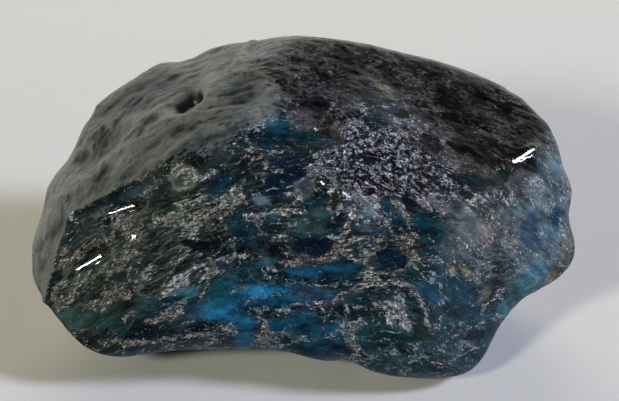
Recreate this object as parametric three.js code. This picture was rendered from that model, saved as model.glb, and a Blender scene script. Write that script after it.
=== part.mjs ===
// Tumbled apatite specimen: one solid, water-worn lump of blue apatite with flat worn faces, soft edges,
// a rippled shoulder with a pit in it, a few chipped lobes and a worn base. Millimetres, +Z up, resting at
// z = 0. The front is -Y. Bearings run from the front towards +X, and heights from the horizon upwards.
import * as THREE from "three";
import { ImprovedNoise } from "three/addons/math/ImprovedNoise.js";
import { mergeVertices } from "three/addons/utils/BufferGeometryUtils.js";

// ---- Driving dimensions ----
const CENTRE_HEIGHT = 15; // body centre above the resting plane
const LEAN = 30; // degrees that the broad outline leans back from upright
const EDGE_SHARPNESS = 30; // higher makes the worn edges between faces tighter
const MESH_DETAIL = 19; // the sphere that becomes the lump has 20 * (MESH_DETAIL + 1)^2 triangles
const SPREAD = new THREE.Vector3(27, 17, 15.5); // half sizes that spread those triangles evenly

// How the outline pulls the lump to its own shape: its broad form reaches deep into the lump, and its
// small notches stay near the rim.
const BROAD_SWEEP = 24; // degrees of outline averaged into the broad form
const BROAD_REACH = 2; // power of the distance to the rim that the broad form fades with
const NOTCH_REACH = 9; // the same for the notches
const OUTLINE_STEPS = 720; // angles at which the outline is measured
const TILT_LIMIT = 60; // degrees either side of the outline's plane searched for the lump's rim
const TILT_STEP = 3;

// Wear, in millimetres of rise. Lumps and dimples cover the whole stone, and ripples its shoulder.
const LUMPS = { size: 11, rise: 1.2 };
const DIMPLES = { size: 4.6, rise: 0.38 };
const RIPPLES = { slope: 36, length: 11, pitch: 3.2, rise: 0.8 };
const SHOULDER = {
  lowAcross: 12.5, highAcross: 15.5,
  leftStart: -6, rightEnd: -2,
  backEnd: -9, frontStart: -3,
};
const RIM_HOLD = 0.85; // share of the wear that is held back at the rim, so that the outline stays
const RIM_FADE = 8; // power of the distance to the rim that the hold comes in with
const SEAM_FADE = 3; // marks fade out over this depth each side of the outline's plane

// The lump's outline seen square on to its leaning broad face: [right, up] from the body centre.
const OUTLINE = [
  [27.6, -4.4], [27.2, -5.8], [25.8, -7.5], [23.8, -8.5], [22.2, -9.4], [20.4, -11.4], [19.5, -12.6],
  [18.4, -14.7], [16.8, -16.7], [13.9, -17.3], [9.8, -17.2], [6.2, -16.4], [5.1, -15.4], [2.1, -15.6],
  [-1.9, -14.5], [-7.5, -14.3], [-13.6, -14.5], [-19.0, -15.2], [-22.1, -13.8], [-25.1, -10.3],
  [-26.8, -7.4], [-27.2, -3.5], [-26.5, -0.8], [-25.9, 2.2], [-23.9, 4.9], [-22.4, 8.3], [-20.7, 11.0],
  [-17.4, 13.1], [-14.6, 15.0], [-12.1, 15.0], [-9.4, 16.5], [-4.5, 17.1], [-0.4, 17.3], [5.4, 16.7],
  [12.9, 15.1], [19.2, 12.9], [23.4, 10.0], [25.5, 6.9], [26.2, 4.1], [27.3, 1.6], [27.0, -1.5],
];

// Worn faces: bearing and height of each face's outward direction, and its distance from the body centre.
const FACES = [
  { name: "front", bearing: 0, height: 15, distance: 13.4 },
  { name: "front left", bearing: -34, height: 21, distance: 18.4 },
  { name: "front right", bearing: 38, height: 4, distance: 18.2 },
  { name: "front underside", bearing: 0, height: -24, distance: 15.9 },
  { name: "front undercut", bearing: 0, height: -60, distance: 15.3 },
  { name: "left end", bearing: -78, height: 9, distance: 26.5 },
  { name: "left shoulder", bearing: -86, height: 34, distance: 21.9 },
  { name: "rippled shoulder", bearing: -96, height: 61, distance: 14.9 },
  { name: "sparkling bevel", bearing: 14, height: 57, distance: 13 },
  { name: "dark top right", bearing: 50, height: 69, distance: 13 },
  { name: "right end", bearing: 78, height: 12, distance: 26 },
  { name: "top", bearing: 180, height: 84, distance: 16.6 },
  { name: "back top", bearing: 168, height: 44, distance: 17.2 },
  { name: "back", bearing: 184, height: 4, distance: 15.5 },
  { name: "back left", bearing: -138, height: 16, distance: 19.5 },
  { name: "back right", bearing: 136, height: 6, distance: 20 },
  { name: "back underside", bearing: 174, height: -40, distance: 15 },
  { name: "left underside", bearing: -95, height: -42, distance: 21.5 },
  { name: "right underside", bearing: 80, height: -40, distance: 21 },
  { name: "base", bearing: 0, height: -90, distance: 17.2 },
];

// Ridges (rise above 0) and hollows (below 0) worn along a path of [right, up] points of the outline, on
// the front of the lump and behind it.
const FRONT_MARKS = [
  {
    name: "crest between shoulder and front", rise: 0.35, width: 1.3,
    path: [[-24.6, -6.5], [-23.6, -2.8], [-22.3, -0.2], [-19, 1.5], [-14.2, 3.7], [-8.8, 6.2], [-5, 8]],
  },
  {
    name: "lower shoulder ridge", rise: 0.5, width: 1.1,
    path: [[-24.4, 0.6], [-22.4, 1.9], [-20.3, 3.8], [-18.6, 5.2], [-16.2, 6], [-15, 8], [-11.6, 9]],
  },
  { name: "middle shoulder ridge", rise: 0.45, width: 1, path: [[-19.6, 8.6], [-15.4, 10.4], [-12.9, 11]] },
  { name: "upper shoulder ridge", rise: 0.5, width: 1.1, path: [[-9.6, 10.6], [-7.7, 12], [-6.2, 14]] },
  { name: "ridge below the pit", rise: 0.35, width: 1, path: [[-10.4, 9], [-6.6, 9.8], [-4.6, 11.6]] },
  { name: "shoulder hollow", rise: -0.5, width: 2, path: [[-17.4, 9.8], [-14.6, 11.6]] },
  { name: "lower shoulder hollow", rise: -0.55, width: 1.6, path: [[-22.3, 4], [-19.6, 6.8]] },
  { name: "pit", rise: -1.5, width: 1.05, path: [[-12.1, 9.8], [-10.9, 10.8]] },
  {
    name: "lip under the sparkling bevel", rise: 0.5, width: 1.4,
    path: [[0.6, 3.6], [1.6, 2.3], [3.4, 1.7], [5.2, 1], [7.6, 0.8], [9.6, 0.9], [12, 0.3], [14.4, -0.6]],
  },
  {
    name: "step under the lip", rise: -0.45, width: 1.2,
    path: [[0.2, 1.4], [2.8, 0], [5, -0.8], [9.4, -1], [12, -1.8], [14, -2.6]],
  },
  { name: "lip corner", rise: 0.5, width: 1.3, path: [[20.4, 4.4], [22.4, 5.8]] },
  {
    name: "groove behind the right rim", rise: -0.5, width: 0.9,
    path: [[23.6, 7.6], [24.6, 5.8], [25.1, 3], [24.9, 0.6], [25.1, -2.2], [25.6, -4]],
  },
  { name: "hollow in the right end", rise: -0.6, width: 2, path: [[20, 2.6], [20.8, -3]] },
  { name: "right end lobe", rise: 0.6, width: 2, path: [[21.8, -5], [23.6, -6]] },
  { name: "notch under the right end", rise: -0.7, width: 1.3, path: [[17.6, -8], [20.6, -9.6]] },
  { name: "split beside the right foot", rise: -0.6, width: 1.2, path: [[3.8, -9], [4.2, -12], [5, -14.6]] },
  { name: "right foot", rise: 0.6, width: 3, path: [[8, -13], [14.6, -12.6]] },
  { name: "dent in the front", rise: -0.4, width: 2.6, path: [[-8, -5], [2, -7]] },
  { name: "front swelling", rise: 0.4, width: 2.6, path: [[-15, -2], [-9, -1]] },
  { name: "flaked lower left edge", rise: -0.5, width: 1.4, path: [[-22, -9], [-19, -12]] },
];
const BACK_MARKS = [
  { name: "split across the back", rise: -0.7, width: 1.2, path: [[-12, 9], [-5, 3], [1, 1.6], [6, -4]] },
  { name: "ridge beside the split", rise: 0.5, width: 1.5, path: [[-14, 6.4], [-6.6, 0.4], [0, -1.4]] },
  { name: "hollow in the back", rise: -0.8, width: 3, path: [[11, 5], [15, 2]] },
  { name: "back pit", rise: -0.8, width: 1.3, path: [[15.6, 8], [17, 8.2]] },
  { name: "back flake", rise: -0.6, width: 2, path: [[-20, -2], [-17, -7]] },
  { name: "back crest", rise: 0.5, width: 2, path: [[-2, -8], [9, -9]] },
];

const radians = THREE.MathUtils.degToRad;
const smoothstep = THREE.MathUtils.smoothstep;
const lerp = THREE.MathUtils.lerp;
const noise = new ImprovedNoise();

function directionOf(bearing, height) {
  const b = radians(bearing);
  const h = radians(height);
  return new THREE.Vector3(Math.sin(b) * Math.cos(h), -Math.cos(b) * Math.cos(h), Math.sin(h));
}

// The leaning outline's own axes: right, up and out of the broad face.
const RIGHT = new THREE.Vector3(1, 0, 0);
const UP = new THREE.Vector3(0, Math.sin(radians(LEAN)), Math.cos(radians(LEAN)));
const OUT = new THREE.Vector3().crossVectors(RIGHT, UP);

// ---- The plain lump: flat faces, softly joined ----
const faces = FACES.map((face) => ({ ...face, normal: directionOf(face.bearing, face.height) }));

function lumpRadius(direction) {
  let sum = 0;
  for (const face of faces) {
    const facing = Math.max(face.normal.dot(direction), 0);
    sum += Math.pow(facing / face.distance, EDGE_SHARPNESS);
  }
  return Math.pow(sum, -1 / EDGE_SHARPNESS);
}

// How far the plain lump reaches at an angle of the outline, whatever the depth at which it does so.
function lumpReach(angle) {
  const inPlane = RIGHT.clone().multiplyScalar(Math.cos(angle)).addScaledVector(UP, Math.sin(angle));
  let reach = 0;
  for (let tilt = -TILT_LIMIT; tilt <= TILT_LIMIT; tilt += TILT_STEP) {
    const direction = inPlane.clone().multiplyScalar(Math.cos(radians(tilt)));
    direction.addScaledVector(OUT, Math.sin(radians(tilt)));
    reach = Math.max(reach, lumpRadius(direction) * Math.cos(radians(tilt)));
  }
  return reach;
}

// ---- The outline, as how much the lump is stretched at each angle to meet it ----
function outlineStretch() {
  const corners = OUTLINE.map(([right, up]) => new THREE.Vector3(right, up, 0));
  const curve = new THREE.CatmullRomCurve3(corners, true, "centripetal");
  const stretch = new Array(OUTLINE_STEPS).fill(0);
  for (const p of curve.getPoints(8 * OUTLINE_STEPS)) {
    const angle = Math.atan2(p.y, p.x);
    const step = Math.floor((angle / (2 * Math.PI) + 1) * OUTLINE_STEPS) % OUTLINE_STEPS;
    stretch[step] = p.length() / lumpReach(angle);
  }
  return stretch;
}

// The same stretch averaged over a sweep of neighbouring angles.
function averaged(stretch, sweep) {
  const half = Math.round((sweep / 720) * OUTLINE_STEPS);
  return stretch.map((_, step) => {
    let sum = 0;
    for (let k = -half; k <= half; k++) sum += stretch[(step + k + OUTLINE_STEPS) % OUTLINE_STEPS];
    return sum / (2 * half + 1);
  });
}

const fineStretch = outlineStretch();
const broadStretch = averaged(fineStretch, BROAD_SWEEP);

function stretchAt(stretch, angle) {
  const place = ((angle / (2 * Math.PI) + 1) * OUTLINE_STEPS - 0.5 + OUTLINE_STEPS) % OUTLINE_STEPS;
  const step = Math.floor(place);
  const next = (step + 1) % OUTLINE_STEPS;
  return lerp(stretch[step], stretch[next], place - step);
}

// ---- Wear: lumps, ripples and marks, as a rise along the direction from the body centre ----
function distanceToPath(right, up, path) {
  let nearest = Infinity;
  for (let i = 0; i + 1 < path.length; i++) {
    const [r0, u0] = path[i];
    const [r1, u1] = path[i + 1];
    const run = (r1 - r0) ** 2 + (u1 - u0) ** 2;
    const along = THREE.MathUtils.clamp(((right - r0) * (r1 - r0) + (up - u0) * (u1 - u0)) / run, 0, 1);
    nearest = Math.min(nearest, Math.hypot(right - lerp(r0, r1, along), up - lerp(u0, u1, along)));
  }
  return nearest;
}

function marksRise(right, up, out) {
  const marks = out > 0 ? FRONT_MARKS : BACK_MARKS;
  let rise = 0;
  for (const mark of marks) {
    const away = distanceToPath(right, up, mark.path) / mark.width;
    rise += mark.rise * Math.exp(-away * away);
  }
  return rise * smoothstep(Math.abs(out), 0, SEAM_FADE);
}

function lumpsRise({ x, y, z }) {
  const broad = noise.noise(x / LUMPS.size + 3.7, y / LUMPS.size + 1.3, z / LUMPS.size);
  const small = noise.noise(x / DIMPLES.size, y / DIMPLES.size, z / DIMPLES.size + 8.1);
  return LUMPS.rise * broad + DIMPLES.rise * small;
}

// Ripples cover the shoulder: the upper left of the front, above its crest.
function ripplesRise(right, up, out) {
  const slope = radians(RIPPLES.slope);
  const along = right * Math.cos(slope) + up * Math.sin(slope);
  const across = up * Math.cos(slope) - right * Math.sin(slope);
  const aboveCrest = smoothstep(across, SHOULDER.lowAcross, SHOULDER.highAcross);
  const onLeft = 1 - smoothstep(right, SHOULDER.leftStart, SHOULDER.rightEnd);
  const inFront = smoothstep(out, SHOULDER.backEnd, SHOULDER.frontStart);
  const ripple = noise.noise(along / RIPPLES.length, across / RIPPLES.pitch, out / RIPPLES.length + 5.2);
  return RIPPLES.rise * ripple * aboveCrest * onLeft * inFront;
}

// One point of the stone, in the direction given from the body centre.
function surfacePoint(direction) {
  const point = direction.clone().multiplyScalar(lumpRadius(direction));
  const flatRight = point.dot(RIGHT);
  const flatUp = point.dot(UP);
  const angle = Math.atan2(flatUp, flatRight);
  const rim = Math.min(Math.hypot(flatRight, flatUp) / lumpReach(angle), 1);
  const broad = stretchAt(broadStretch, angle);
  const fine = stretchAt(fineStretch, angle);
  const grow = (broad - 1) * rim ** BROAD_REACH + (fine - broad) * rim ** NOTCH_REACH;
  point.addScaledVector(RIGHT, flatRight * grow).addScaledVector(UP, flatUp * grow);
  const right = point.dot(RIGHT);
  const up = point.dot(UP);
  const out = point.dot(OUT);
  const rise = lumpsRise(point) + ripplesRise(right, up, out) + marksRise(right, up, out);
  return point.addScaledVector(direction, rise * (1 - RIM_HOLD * rim ** RIM_FADE));
}

function makeStone() {
  const sphere = new THREE.IcosahedronGeometry(1, MESH_DETAIL);
  sphere.deleteAttribute("normal");
  sphere.deleteAttribute("uv");
  const geometry = mergeVertices(sphere, 1e-5);
  const position = geometry.getAttribute("position");
  const direction = new THREE.Vector3();
  for (let i = 0; i < position.count; i++) {
    direction.fromBufferAttribute(position, i).multiply(SPREAD).normalize();
    const point = surfacePoint(direction);
    position.setXYZ(i, point.x, point.y, Math.max(point.z + CENTRE_HEIGHT, 0));
  }
  geometry.computeBoundingBox();
  const middle = geometry.boundingBox.getCenter(new THREE.Vector3());
  geometry.translate(-middle.x, -middle.y, 0);
  geometry.computeVertexNormals();
  const material = new THREE.MeshStandardMaterial({ color: 0x1c3f4a, roughness: 0.25, metalness: 0 });
  const mesh = new THREE.Mesh(geometry, material);
  mesh.name = "apatite_stone";
  return mesh;
}

const specimen = new THREE.Group();
specimen.add(makeStone());

export default specimen;
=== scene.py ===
"""A tumbled blue apatite: one dark, glossy stone, windows of clear blue between veins of pale grains.

The stone is a finer copy of the CAD solid. Its fine relief is carved into the mesh, and each vertex carries
the colours and amounts from which one material draws clear stone, grains, satin and dull rock.
"""
import math

import bmesh
import bpy
import numpy as np
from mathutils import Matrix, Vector, noise


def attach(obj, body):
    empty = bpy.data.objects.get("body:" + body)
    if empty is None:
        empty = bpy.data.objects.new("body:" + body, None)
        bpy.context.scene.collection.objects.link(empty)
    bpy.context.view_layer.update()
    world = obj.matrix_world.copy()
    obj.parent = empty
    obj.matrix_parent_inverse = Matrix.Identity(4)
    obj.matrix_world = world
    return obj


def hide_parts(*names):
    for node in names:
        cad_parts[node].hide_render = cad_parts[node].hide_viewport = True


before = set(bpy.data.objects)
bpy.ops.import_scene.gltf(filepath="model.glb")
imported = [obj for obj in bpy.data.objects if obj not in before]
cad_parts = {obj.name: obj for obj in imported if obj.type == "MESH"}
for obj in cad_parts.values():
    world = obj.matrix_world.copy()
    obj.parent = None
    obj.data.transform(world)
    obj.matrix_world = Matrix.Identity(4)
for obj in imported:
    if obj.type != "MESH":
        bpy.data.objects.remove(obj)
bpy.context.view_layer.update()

MM = 0.001

# ---- Camera: the photograph's angle and frame; lengths in millimetres, pixels from the top left ----
PHOTO_WIDTH = 619
PHOTO_HEIGHT = 401
VIEW_ELEVATION = math.radians(30.0)
VIEW_DISTANCE = 250.0
AIM = np.array([0.0, -0.7, 15.0])
AIM_PIXEL = np.array([304.0, 207.0])
PIXELS_PER_MM = 9.85
SENSOR_WIDTH = 36.0
CLIP_START = 0.01  # metres

RIGHT = np.array([1.0, 0.0, 0.0])
UP = np.array([0.0, math.sin(VIEW_ELEVATION), math.cos(VIEW_ELEVATION)])
TOWARDS = np.array([0.0, -math.cos(VIEW_ELEVATION), math.sin(VIEW_ELEVATION)])

# ---- Light: places and sizes in metres ----
LIGHT_DISTANCE = 1.2
# Windows that the stone mirrors: name, direction from the stone, width, height, watts, colour.
LIGHTS = [
    ("cool window", (0.75, -0.33, 0.62), 0.22, 0.22, 10.7, (0.77, 0.81, 1.0)),
    ("warm window", (-0.46, -0.74, 0.50), 0.14, 0.14, 6.4, (1.0, 0.98, 0.80)),
]
# Soft light that the stone doesn't mirror: name, place, size, watts, colour.
SOFT_LIGHTS = [
    ("back wall", (-0.03, 0.28, 0.20), 0.22, 0.43, (1.0, 0.93, 0.72)),
]

# ---- What the stone mirrors: a dim room, a pale backdrop behind it to the left, and glows ----
DIM_ROOM = (0.035, 0.035, 0.04)
BACKDROP = (0.78, 0.78, 0.74)
BACKDROP_WAY = (-0.45, 0.89, 0.0)
BACKDROP_SIDE = (-0.25, 0.55)  # cosines of the angle from BACKDROP_WAY where it ends and is full
BACKDROP_FOOT = (-0.7, -0.1)  # sines of the heights where it starts and is full
BACKDROP_TOP = (0.25, 0.75)  # sines of the heights where it begins to fade and is gone
# Glows: direction, cosines of the angle from it where the glow ends and is full, colour.
GLOWS = [
    ((0.95, -0.10, 0.00), 0.4, 0.95, (0.27, 0.29, 0.33)),
    ((0.70, 0.30, -0.64), 0.5, 0.95, (0.18, 0.19, 0.22)),
]

# ---- The paper it lies on: lengths in metres ----
PAPER_HALF = 3.0
PAPER_COLORS = (0.79, 0.79, 0.78), (0.81, 0.81, 0.80)
PAPER_MOTTLE = 0.004
PAPER_ROUGHNESS = 0.9
PAPER_SHINE = 0.2

# ---- Looks: the stone's palette, in linear light ----
# Clear stone
AZURE = (0.006, 0.105, 0.220)
CERULEAN = (0.004, 0.072, 0.140)
LAGOON = (0.004, 0.042, 0.062)
COBALT = (0.003, 0.042, 0.086)
TEAL = (0.002, 0.028, 0.044)
DEEP_TEAL = (0.002, 0.017, 0.026)
NAVY = (0.001, 0.007, 0.019)
BLACK_BLUE = (0.002, 0.006, 0.012)
BLACK_TEAL = (0.004, 0.014, 0.019)
BOTTLE = (0.006, 0.016, 0.014)
SOOT = (0.005, 0.005, 0.005)
FOOT_TEAL = (0.014, 0.062, 0.078)

# Milky stone, with more red than MILKY: its windows hold grains of their own colour
MILKY = 0.015
SEA_GREEN = (0.016, 0.042, 0.042)
UMBER = (0.020, 0.016, 0.013)
SLATE = (0.020, 0.055, 0.098)
PALE_TEAL = (0.025, 0.085, 0.110)
PLUM_GREY = (0.032, 0.030, 0.040)
OLIVE_GREY = (0.036, 0.036, 0.031)
ICE = (0.045, 0.112, 0.155)
CLOUD_BLUE = (0.060, 0.074, 0.086)
SKY = (0.070, 0.112, 0.140)
# Painted light: milky blue, made pale as a glow of light through the thin right end
MILKY_GLOW_BLUE = (0.078, 0.138, 0.172)
ASH = (0.080, 0.088, 0.080)
FAWN = (0.105, 0.088, 0.066)
STRAW = (0.150, 0.145, 0.105)
MOSS = (0.160, 0.170, 0.120)

# Grains
SILVER = (0.42, 0.44, 0.46)
LILAC = (0.41, 0.38, 0.45)
BEIGE = (0.39, 0.385, 0.335)
ROSE = (0.41, 0.37, 0.37)
OLIVE = (0.28, 0.28, 0.22)
RUSTY = (0.33, 0.30, 0.26)
DUSK = (0.24, 0.23, 0.26)
COLD_SILVER = (0.25, 0.38, 0.44)
MILKY_GREY = (0.42, 0.47, 0.50)
CLOUD_GREY = (0.29, 0.30, 0.31)
DULL_GREY = (0.12, 0.118, 0.122)
SPARKLING = (0.53, 0.54, 0.67)

# Satin: pale on its crests, partly the grey skin and partly a painted sheen, with painted shade in its
# hollows and pores
SATIN_SHADE_HOLLOW = (0.005, 0.013, 0.014)
SATIN_SHEEN_CREST = (0.166, 0.172, 0.149)
SATIN_SHADE_PORE = (0.008, 0.014, 0.014)

# ---- Marks of the front, placed by pixels of the photograph ----
# Windows of clear and milky stone: colour, pixel of the centre, half length and half width in mm, tilt in
# degrees. A later window lies over an earlier one.
WINDOWS = [
    (AZURE, 246, 302, 3.3, 1.35, 10), (AZURE, 282, 295, 3.2, 0.85, 6), (SLATE, 310, 293, 2.0, 0.75, -8),
    (COBALT, 306, 271, 2.9, 0.55, 4), (LAGOON, 345, 267, 2.0, 1.0, 15), (LAGOON, 221, 291, 1.7, 1.1, 50),
    (CERULEAN, 246, 326, 2.0, 0.9, 80), (COBALT, 302, 324, 3.6, 1.0, -3), (COBALT, 317, 347, 2.2, 0.7, 3),
    (NAVY, 312, 246, 2.1, 0.9, 0), (SEA_GREEN, 313, 220, 1.7, 1.0, 20),
    (BLACK_BLUE, 336, 221, 1.2, 0.5, 40), (DEEP_TEAL, 244, 228, 1.7, 1.1, -50),
    (BLACK_BLUE, 199, 245, 2.0, 0.6, -5), (BLACK_BLUE, 238, 253, 1.5, 0.4, 5),
    (NAVY, 283, 180, 2.5, 1.0, 18), (TEAL, 266, 130, 2.4, 1.5, 0), (BOTTLE, 246, 166, 1.9, 1.0, 30),
    (NAVY, 287, 160, 1.7, 0.5, 8), (DEEP_TEAL, 304, 136, 1.7, 0.6, -5), (DEEP_TEAL, 314, 197, 1.2, 0.6, 30),
    (SKY, 366, 217, 1.2, 0.9, 30), (TEAL, 428, 227, 1.9, 1.1, -25), (NAVY, 390, 259, 1.6, 1.0, -10),
    (COBALT, 437, 290, 1.8, 1.0, 0), (TEAL, 462, 293, 1.5, 0.9, -20), (PALE_TEAL, 528, 283, 1.9, 1.1, 35),
    (SLATE, 530, 229, 1.7, 0.8, 85), (COBALT, 556, 217, 1.2, 0.5, 90), (NAVY, 476, 335, 1.3, 0.5, 15),
    (DEEP_TEAL, 391, 335, 2.3, 0.55, -3), (TEAL, 484, 350, 1.6, 0.6, 25), (BOTTLE, 419, 330, 0.8, 1.1, 0),
    (PALE_TEAL, 183, 291, 1.2, 0.75, 5), (DEEP_TEAL, 126, 192, 2.3, 0.6, 27),
    (BOTTLE, 163, 198, 2.2, 0.9, 25), (BOTTLE, 206, 158, 1.4, 0.5, 30), (SEA_GREEN, 82, 318, 2.6, 1.0, -5),
    (DEEP_TEAL, 143, 332, 2.4, 0.7, 5), (BLACK_BLUE, 120, 275, 1.0, 0.35, 5),
    (DEEP_TEAL, 222, 183, 1.5, 0.8, 30), (BLACK_BLUE, 272, 200, 1.0, 0.4, 25),
    (TEAL, 392, 203, 1.4, 0.6, -10), (SKY, 262, 198, 0.8, 0.4, -15), (PALE_TEAL, 268, 258, 1.2, 0.45, 30),
    (BLACK_BLUE, 275, 250, 0.7, 0.5, 40), (COBALT, 330, 268, 1.6, 0.7, 8),
    (BLACK_BLUE, 341, 306, 0.6, 0.35, 10), (SOOT, 330, 135, 1.2, 0.35, -25), (MOSS, 383, 88, 0.7, 0.7, 0),
    (SOOT, 464, 147, 1.9, 0.5, -12), (SOOT, 480, 97, 0.8, 0.35, -15), (SOOT, 506, 107, 0.7, 0.6, -30),
    (SOOT, 401, 112, 0.9, 0.4, -10), (SOOT, 356, 70, 1.4, 0.4, -5), (SOOT, 452, 118, 1.2, 0.35, -20),
    (FAWN, 557, 276, 1.3, 0.65, 35), (ASH, 567, 250, 0.7, 1.6, 0), (ICE, 538, 272, 1.0, 1.0, 0),
    (STRAW, 471, 274, 1.4, 0.32, -45), (FAWN, 488, 236, 0.9, 0.4, -50), (STRAW, 485, 292, 0.8, 0.3, 60),
    (TEAL, 455, 285, 2.2, 0.9, -8), (BOTTLE, 508, 176, 1.2, 0.6, -20),
    (BLACK_TEAL, 470, 180, 2.4, 0.5, -12), (OLIVE_GREY, 273, 99, 1.5, 1.5, 0),
    (BLACK_TEAL, 95, 206, 2.0, 0.5, 27), (BOTTLE, 166, 187, 1.6, 0.6, 22),
    (SEA_GREEN, 130, 304, 2.4, 0.6, 8), (DEEP_TEAL, 166, 301, 1.6, 0.5, 15), (TEAL, 267, 114, 1.6, 1.1, 10),
    (BLACK_BLUE, 407, 200, 1.0, 0.5, -45), (DEEP_TEAL, 456, 311, 2.2, 0.7, -5),
    # These two windows paint a paler teal glow where light shines through the thin lower right rim
    (TEAL, 490, 333, 1.2, 0.7, 60), (PALE_TEAL, 512, 304, 1.6, 0.6, 38),
]

# Patches thick with grains: the grains' colour, then as above.
PATCHES = [
    (BEIGE, 203, 209, 3.0, 1.5, 15), (ROSE, 100, 296, 2.8, 0.9, 12), (SILVER, 224, 330, 1.5, 1.7, 0),
    (SILVER, 268, 218, 2.4, 1.0, 30), (BEIGE, 232, 262, 2.6, 0.6, 15), (BEIGE, 320, 256, 3.0, 0.6, 20),
    (SILVER, 372, 262, 1.6, 2.2, 0), (SILVER, 312, 303, 3.0, 0.5, -3), (SILVER, 264, 328, 1.0, 1.7, 0),
    (LILAC, 432, 209, 2.4, 0.8, -28), (SILVER, 380, 205, 1.6, 0.8, -20), (SILVER, 450, 352, 2.2, 1.2, 15),
    (SILVER, 396, 314, 1.7, 1.2, -10), (BEIGE, 285, 143, 2.4, 0.5, 8), (SILVER, 205, 275, 2.6, 0.7, 20),
    (ROSE, 160, 320, 2.4, 0.6, 12), (OLIVE, 92, 245, 2.2, 0.9, 30), (LILAC, 110, 222, 1.8, 0.8, 20),
    (LILAC, 331, 112, 1.2, 0.8, 0), (DUSK, 425, 108, 1.6, 0.5, -15), (DUSK, 478, 146, 1.0, 0.4, -5),
    (BEIGE, 497, 120, 0.6, 0.4, -20), (DUSK, 500, 86, 1.4, 0.5, -35), (DUSK, 315, 68, 1.6, 0.5, 0),
    (DUSK, 298, 108, 1.6, 0.8, -10), (SILVER, 405, 232, 0.7, 1.8, 0), (BEIGE, 402, 275, 1.5, 0.7, -30),
    (BEIGE, 225, 205, 2.2, 0.8, 60), (BEIGE, 184, 175, 2.1, 1.7, 40), (DUSK, 303, 187, 1.5, 1.2, -20),
    (DUSK, 521, 188, 1.6, 1.2, 0),
]

# Veins of grains: their colour, half width in mm, path in pixels.
VEINS = [
    (RUSTY, 0.32, [(279, 262), (300, 256), (315, 262), (330, 253), (340, 243), (345, 230), (347, 222)]),
    (RUSTY, 0.24, [(343, 236), (358, 236), (380, 240), (402, 237), (412, 236)]),
    (BEIGE, 0.24,
     [(345, 245), (348, 256), (360, 262), (370, 256), (378, 246), (370, 238), (356, 238), (345, 245)]),
    (BEIGE, 0.30, [(364, 260), (368, 270), (380, 281)]),
    (SILVER, 0.22, [(380, 281), (362, 284), (346, 292), (330, 301), (312, 303)]),
    (SILVER, 0.28, [(378, 282), (396, 281), (412, 288), (420, 299), (425, 313), (430, 330)]),
    (BEIGE, 0.34, [(391, 197), (400, 205), (410, 218), (414, 235), (406, 248)]),
    (RUSTY, 0.32, [(400, 244), (412, 252), (424, 262)]),
    (COLD_SILVER, 0.15, [(406, 258), (418, 268), (426, 280), (440, 283), (441, 294), (450, 300)]),
    (COLD_SILVER, 0.13, [(424, 282), (436, 277), (446, 272), (448, 284)]),
    (SILVER, 0.36, [(374, 302), (388, 306), (398, 316), (408, 326)]),
    (SILVER, 0.22, [(342, 298), (345, 312), (350, 330), (353, 345), (358, 358)]),
    (COLD_SILVER, 0.14, [(352, 342), (380, 340), (400, 341), (430, 347), (460, 353), (480, 346), (497, 341)]),
    (COLD_SILVER, 0.18, [(440, 345), (450, 338), (458, 333), (468, 326), (485, 322)]),
    (COLD_SILVER, 0.14, [(380, 331), (396, 333), (404, 329), (415, 330)]),
    (COLD_SILVER, 0.15, [(262, 276), (285, 279), (310, 283), (335, 285), (352, 283)]),
    (COLD_SILVER, 0.11, [(234, 303), (248, 298), (262, 296), (276, 294), (292, 292)]),
    (COLD_SILVER, 0.36, [(248, 311), (262, 308), (278, 307), (292, 311)]),
    (SILVER, 0.32, [(262, 316), (268, 330), (262, 346)]),
    (COLD_SILVER, 0.22, [(282, 346), (295, 340), (306, 334)]),
    (SILVER, 0.16, [(300, 302), (318, 304), (326, 316), (322, 329)]),
    (BEIGE, 0.24, [(492, 218), (503, 226), (512, 240), (520, 252)]),
    (RUSTY, 0.20, [(444, 262), (455, 267), (466, 262)]),
    (ROSE, 0.36, [(148, 322), (165, 315), (182, 309)]),
    (SILVER, 0.32, [(150, 342), (168, 339), (186, 336), (205, 334)]),
    (SILVER, 0.30, [(165, 286), (184, 273), (204, 263), (224, 257), (246, 253)]),
    (OLIVE, 0.28, [(198, 301), (205, 287), (211, 274), (214, 264)]),
    (BEIGE, 0.36, [(150, 226), (164, 217), (182, 209)]),
    (LILAC, 0.10,
     [(128, 272), (131, 264), (140, 261), (146, 267), (146, 275), (140, 281), (131, 279), (128, 272)]),
    (BEIGE, 0.28, [(96, 347), (112, 341), (130, 344), (148, 340)]),
    (BEIGE, 0.11, [(228, 169), (240, 159), (252, 151), (262, 155), (267, 165), (262, 176)]),
    (BEIGE, 0.10, [(205, 171), (212, 163), (225, 165), (230, 175), (228, 184)]),
    (COLD_SILVER, 0.12, [(262, 190), (280, 188), (296, 183), (311, 171)]),
    (BEIGE, 0.12, [(181, 181), (191, 178), (199, 176), (207, 168)]),
    (BEIGE, 0.40, [(282, 212), (291, 203), (300, 199)]),
    (BEIGE, 0.24, [(233, 186), (241, 192), (246, 202)]),
    (BEIGE, 0.28, [(257, 158), (264, 166), (262, 180)]),
    (SILVER, 0.16, [(240, 132), (247, 140), (252, 150)]),
]

# ---- The hidden sides: such windows, scattered by a fixed seed ----
HIDDEN_SEED = 11
HIDDEN_WINDOWS = 70
HIDDEN_COLORS = [COBALT, TEAL, TEAL, DEEP_TEAL, DEEP_TEAL, NAVY, BLACK_BLUE, SEA_GREEN, BOTTLE, AZURE]
HIDDEN_LENGTHS = (1.4, 3.4)  # half lengths in mm, shortest and longest
HIDDEN_WIDTHS = (0.6, 1.5)  # the same across
HIDDEN_FACING = -0.1  # cosine of the angle to the camera below which a side is hidden
HIDDEN_THICKNESS = 0.06


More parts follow.
